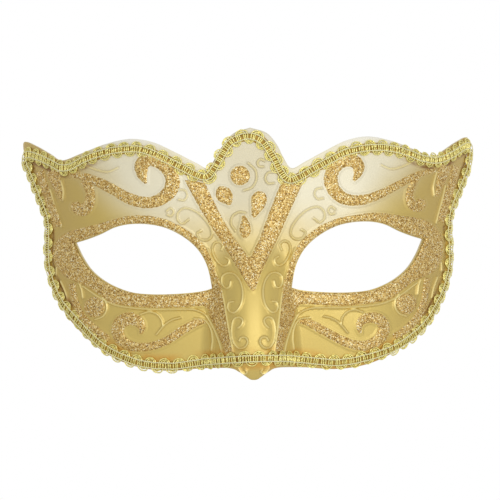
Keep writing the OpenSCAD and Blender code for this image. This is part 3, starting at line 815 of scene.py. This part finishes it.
def shell_loops():
    """Edges of the shell: its outline, the eye openings and the tie holes."""
    half = curve(OUTLINE, RIM_STEP)
    outline = np.vstack([half[:-1], (half * (-1, 1))[::-1][:-1]])
    eye = eye_loop()
    return [outline, eye, (eye * (-1, 1))[::-1]] + tie_hole_loops()


def mark_shell(shell, front, front_xyz, n_back):
    """Numbers the lacquer reads: painted front, embossed lines, amber tint, and painted shadow beside the
    braid.
    """
    middle = curve(BRAID_PATH, RIM_STEP, closed=True)
    from_braid = nearest(lay(middle, 0))(front_xyz)
    marks = {
        "painted": np.ones(len(front)),
        # Nearness to an embossed line, which places the painted shade and highlight on the lines.
        "crest": emboss.line(front),
        "amber_tint": 1 - ease((nearest(middle)(front) - AMBER_TINT_FROM) / AMBER_TINT_W),
        # Painted shadow in the gap just inside the braid.
        "painted_gap_shadow": contains(middle, front) * (1 - ease(np.abs(from_braid - GAP_SHADOW_FROM) / GAP_SHADOW_W)),
    }
    for name, value in marks.items():
        attribute = shell.data.attributes.new(name, "FLOAT", "POINT")
        attribute.data.foreach_set("value", np.concatenate([value, np.zeros(n_back)]))


def make_shell(material):
    """The formed sheet: an embossed front, a softer back, and walls round all its edges."""
    loops = shell_loops()
    rng = np.random.default_rng(11)
    even, follow = emboss.grid(inside_rows(loops, SHELL_STEP, rng, SHELL_JITTER))
    from_rim = nearest(np.vstack(loops))
    cut_out = np.any([contains(loop, follow) for loop in loops[1:]], axis=0)
    held = contains(loops[0], follow) & ~cut_out & (from_rim(follow) > RIM_CLEAR)
    front, front_tris = triangulate(loops, np.vstack([even, follow[held]]))
    back, back_tris = triangulate(loops, inside_rows(loops, BACK_STEP, rng, SHELL_JITTER))
    front_xyz = lay(front, emboss.height(front) - EDGE_DROP * (1 - ease(from_rim(front) / EDGE_ROUND)))
    inward = BACK_SHARE * emboss.height(back) * ease(from_rim(back) / BACK_MARGIN)
    back_xyz = lay(back, inward - SHELL_T)
    faces = np.vstack([front_tris, back_tris[:, ::-1] + len(front), walls(loops, len(front))])
    shell = build("mask_shell_embossed", np.vstack([front_xyz, back_xyz]), faces, material, sharp_deg=50)
    mark_shell(shell, front, front_xyz, len(back))
    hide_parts("mask_shell")


FLAKE = 0.44
FLAKE_JITTER = 0.3
FLAKE_TILT = 0.11
FLAKE_SEED = 300
CROWN = 0.4
CROWN_REACH = 0.9
EDGE_WANDER = 0.16
EDGE_RISE = 0.02
FIRST_FLAKE_RISE = 0.04
LAYER_SINK = 0.05


def layer(edges, inner, rise, sink):
    """Closed layer inside the edges. Rise gives its top from place and depth, sink gives its underside."""
    flat, tris = triangulate(edges, inner)
    n = len(flat)
    top = rise(flat, nearest(np.vstack(edges))(flat))
    faces = np.vstack([tris, tris[:, ::-1] + n, walls(edges, n)])
    return np.vstack([lay(flat, top), lay(flat, sink(flat))]), faces


def make_patch(loops, rng):
    """Vertices and faces of one crowned layer, whose top is broken into a tilted facet for each flake."""
    edges = []
    for loop in loops:
        edge = evenly(loop, FLAKE)
        edges.append(edge + rng.uniform(-EDGE_WANDER, EDGE_WANDER, edge.shape))

    def rise(flat, depth):
        tilt = rng.uniform(-FLAKE_TILT, FLAKE_TILT, len(flat))
        crown = FIRST_FLAKE_RISE + CROWN * ease(depth / CROWN_REACH) + tilt
        return emboss.height(flat) + EDGE_RISE + np.where(depth > 0, crown, 0)

    def sink(flat):
        return emboss.height(flat) - LAYER_SINK

    return layer(edges, inside_rows(edges, FLAKE, rng, FLAKE_JITTER), rise, sink)


def make_glitter(material):
    """One patch for each outline, every one with its own random flakes."""
    for index, (node, loops) in enumerate(LOOPS.items()):
        verts, faces = make_patch(loops, np.random.default_rng(FLAKE_SEED + index))
        piece = build(node + "_flakes", verts, faces, material, smooth=False)
        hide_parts(node)


PATH_STEP = 0.25
ALONG_PROBE = 0.6


class Braid:
    """The route of the braid, by the distance along it."""

    def __init__(self):
        flat = curve(BRAID_PATH, PATH_STEP, closed=True)
        laid = lay(flat, 0)
        step = np.linalg.norm(np.roll(laid, -1, axis=0) - laid, axis=1)
        self.s = np.concatenate([[0], np.cumsum(step)])
        self.length = self.s[-1]
        self.flat = np.vstack([flat, flat[:1]])

    def at(self, s):
        """Places at distances, and there the directions along the braid, across it and out of the face."""
        flat = self.on(s)
        along = unit(lay(self.on(s + ALONG_PROBE), 0) - lay(self.on(s - ALONG_PROBE), 0))
        up = normals(flat[:, 0], flat[:, 1])
        return lay(flat, 0), along, np.cross(along, up), up

    def on(self, s):
        """Flat places at distances along the braid."""
        s = np.mod(s, self.length)
        return np.stack([np.interp(s, self.s, self.flat[:, 0]), np.interp(s, self.s, self.flat[:, 1])], -1)


braid = Braid()

BRAID_W = 6.3
SCALLOP = 5.9
POINTS_PER_SCALLOP = 40

STRAND_R = 0.26
STRAND_GAP = 0.66
STRAND_SPREAD = 0.16  # more gap where a strand crosses the middle
STRAND_BULGE = 0.5  # how far a scallop's round end runs ahead
STRAND_LOW = 0.28
STRAND_HIGH = 0.78
STRAND_UNEVEN = 0.04
STRAND_LOBE = 0.18
STRAND_TWIST = 1.3
STRAND_SIDES = 6

CORE_GAP = 2.4
CORE_STEP = 0.28
CORE_H = 0.98
PLY_R = 0.15
PLY_OFF = 0.11
PLY_TWIST = 1.5
PLY_SIDES = 5

GLUE_W = 3.6
GLUE_T = 0.4
GLUE_STEP = 0.6
GLUE_JITTER = 0.03
GLUE_EDGE = 0.6
TIE_PAD_W = 1.0
TIE_PAD_LENGTH = 5.0


def waver(s, amount, waves, rng):
    """Slow wandering along the braid that closes on itself."""
    total = np.zeros_like(s)
    for k in waves:
        total += np.sin(2 * math.pi * k * s / braid.length + rng.uniform(0, 2 * math.pi))
    return amount * total / len(waves)


def sweep(centres, up, radius, sides, twist=0.0, lobe=0.0):
    """Endless tube along centres, with the given rough up direction."""
    along = unit(np.roll(centres, -1, axis=0) - np.roll(centres, 1, axis=0))
    across = unit(np.cross(along, up))
    return tube(centres, across, np.cross(across, along), radius, sides, twist, lobe)


def make_strands(material):
    """Three gold strands side by side that wave from edge to edge under the two cords."""
    waves = round(braid.length / SCALLOP)
    n = waves * POINTS_PER_SCALLOP
    rng = np.random.default_rng(5)
    t = np.arange(n) / n
    s = t * braid.length
    phase = 2 * math.pi * waves * t + waver(s, 0.8, (7, 11, 17, 23), rng)
    for letter, shift in (("a", -1), ("b", 0), ("c", 1)):
        loose = waver(s, 0.25, (31, 43, 61, 89), rng)
        turn = phase + waver(s, 0.25, (29, 53, 71, 97), rng)
        swing = BRAID_W / 2 - STRAND_R - STRAND_GAP + loose
        run = s + STRAND_BULGE * np.sin(2 * turn)
        lateral = swing * np.cos(turn)
        d_run, d_lat = np.gradient(run), np.gradient(lateral)
        size = np.hypot(d_run, d_lat)
        offset = shift * (STRAND_GAP + STRAND_SPREAD * np.sin(turn) ** 2)
        place, along, across, up = braid.at(run - offset * d_lat / size)
        side = lateral + offset * d_run / size
        over = 1 - np.abs(np.cos(turn)) ** 3
        height = STRAND_LOW + (STRAND_HIGH - STRAND_LOW) * over + rng.uniform(-STRAND_UNEVEN, STRAND_UNEVEN)
        centres = place + across * side[:, None] + up * height[:, None]
        twist = s * 2 * math.pi / STRAND_TWIST
        verts, faces = sweep(centres, up, STRAND_R, STRAND_SIDES, twist, STRAND_LOBE)
        piece = build("braid_strand_" + letter, verts, faces, material, sharp_deg=50)
        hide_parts("braid_strands")


def make_core(material, name, across_by):
    """One pale core cord of two twisted plies, stitched down over the strands."""
    n = round(braid.length / CORE_STEP)
    s = np.arange(n) / n * braid.length
    turns = round(braid.length / PLY_TWIST)
    rng = np.random.default_rng(9)
    side = across_by + waver(s, 0.14, (13, 29, 37, 71), rng)
    height = CORE_H + waver(s, 0.12, (113, 151), rng)
    place, along, across, up = braid.at(s)
    parts = []
    for ply in (0, math.pi):
        angle = 2 * math.pi * turns * s / braid.length + ply
        centres = place + across * (side + PLY_OFF * np.cos(angle))[:, None]
        centres = centres + up * (height + PLY_OFF * np.sin(angle))[:, None]
        parts.append(sweep(centres, up, PLY_R, PLY_SIDES))
    verts, faces = joined(parts)
    piece = build(name + "_twisted", verts, faces, material)
    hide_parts(name)


def make_glue(material):
    """Flat bead with uneven edges under the braid, wider beside the tie holes and open round them."""
    n = round(braid.length / GLUE_STEP)
    s = np.arange(n) / n * braid.length
    rng = np.random.default_rng(22)
    place, along, across, up = braid.at(s)
    inner = GLUE_W / 2 + waver(s, 0.4, (19, 31, 47, 83, 131), rng)
    from_hole = np.abs(place[:, 2] - TIE_HOLE[1])
    at_side = np.abs(place[:, 0]) > HALF_W / 2
    inner += at_side * TIE_PAD_W * ease(1 - from_hole / TIE_PAD_LENGTH)
    outer = GLUE_W / 2 + waver(s, 0.3, (23, 41, 67), rng)
    edges = []
    for side, half_w in ((-1, outer), (1, inner)):
        edge = place + side * across * half_w[:, None]
        edges.append(edge[nearest(place)(edge) > half_w - FOLD][:, ::2])
    edges += tie_hole_loops()

    def rise(flat, depth):
        return EDGE_RISE + GLUE_T * ease(depth / GLUE_EDGE)

    def sink(flat):
        return np.full(len(flat), -LAYER_SINK)

    verts, faces = layer(edges, inside_rows(edges, GLUE_STEP, rng, GLUE_JITTER), rise, sink)
    piece = build("braid_glue_bead_amber", verts, faces, material, sharp_deg=60)
    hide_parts("braid_glue_bead")


make_shell(shell_material())
make_glitter(glitter_material())
make_glue(glue_material())
cord = cord_material()
make_core(cord, "braid_core_outer", -CORE_GAP / 2)
make_core(cord, "braid_core_inner", CORE_GAP / 2)
make_strands(lurex_material())


# ---------------------------------------------------------------------------------------------------------
# Stage: floor, light and camera, in metres
# ---------------------------------------------------------------------------------------------------------

FLOOR_Z = -0.14
FLOOR_HALF = 0.9
CAMERA_DISTANCE = 6.0
PICTURE_W = 0.2
SENSOR_W = 36.0
CAMERA_YAW = math.radians(-1.75)
CAMERA_ROLL = math.radians(0.6)
AIM = Vector((-0.0004, 0.01, 0.0))


def make_floor():
    mesh = bpy.data.meshes.new("floor")
    corners = [(x * FLOOR_HALF, y * FLOOR_HALF, FLOOR_Z) for x, y in ((-1, -1), (1, -1), (1, 1), (-1, 1))]
    mesh.from_pydata(corners, [], [(0, 1, 2, 3)])
    n = Nodes("floor")
    n.fixed(base_color=(0.86, 0.86, 0.85, 1), roughness=0.7)
    mesh.materials.append(n.material)
    floor = bpy.data.objects.new("floor", mesh)
    bpy.context.scene.collection.objects.link(floor)


def area_light(name, place, size, power):
    """Soft light that points at the middle of the mask."""
    data = bpy.data.lights.new(name, "AREA")
    data.shape = "RECTANGLE"
    data.size, data.size_y = size
    data.energy = power
    light = bpy.data.objects.new(name, data)
    light.location = place
    light.rotation_euler = (-Vector(place)).to_track_quat("-Z", "Y").to_euler()
    bpy.context.scene.collection.objects.link(light)


def make_world():
    """Pale studio surround: white behind the mask, softer in front of it and at the sides."""
    world = bpy.data.worlds.new("studio")
    bpy.context.scene.world = world
    world.use_nodes = True
    tree = world.node_tree
    coords = tree.nodes.new("ShaderNodeTexCoord")
    split = tree.nodes.new("ShaderNodeSeparateXYZ")
    tree.links.new(coords.outputs["Generated"], split.inputs[0])
    depth = tree.nodes.new("ShaderNodeMapRange")
    depth.inputs["From Min"].default_value = -1
    depth.inputs["From Max"].default_value = 1
    tree.links.new(split.outputs["Y"], depth.inputs["Value"])
    ramp = tree.nodes.new("ShaderNodeValToRGB")
    ramp.color_ramp.interpolation = "EASE"
    set_stops(ramp.color_ramp, [
        (0.0, grey(0.92)), (0.14, grey(0.76)), (0.32, grey(0.57)), (0.62, grey(0.52)), (0.93, grey(1.0))])
    tree.links.new(depth.outputs[0], ramp.inputs[0])
    tree.links.new(ramp.outputs[0], tree.nodes["Background"].inputs["Color"])


def make_camera():
    """Long lens from in front, turned and rolled a little as the mask lies in its picture."""
    data = bpy.data.cameras.new("camera")
    data.sensor_width = SENSOR_W
    data.lens = SENSOR_W * CAMERA_DISTANCE / PICTURE_W
    data.clip_end = 100.0
    camera = bpy.data.objects.new("camera", data)
    towards = Vector((-math.sin(CAMERA_YAW), math.cos(CAMERA_YAW), 0))
    camera.location = AIM - CAMERA_DISTANCE * towards
    turn = towards.to_track_quat("-Z", "Y").to_matrix()
    camera.rotation_euler = (turn @ Matrix.Rotation(-CAMERA_ROLL, 3, "Z")).to_euler()
    bpy.context.scene.collection.objects.link(camera)
    bpy.context.scene.camera = camera


make_floor()
make_world()
area_light("key", (0.2, -1.5, 0.72), (0.6, 1.1), 4.6)
area_light("side", (1.1, -1.2, 0.1), (0.5, 0.5), 2.8)
area_light("fill", (0.1, -1.5, -0.16), (0.5, 0.1), 1.2)
make_camera()
bpy.context.scene.view_settings.view_transform = "Standard"
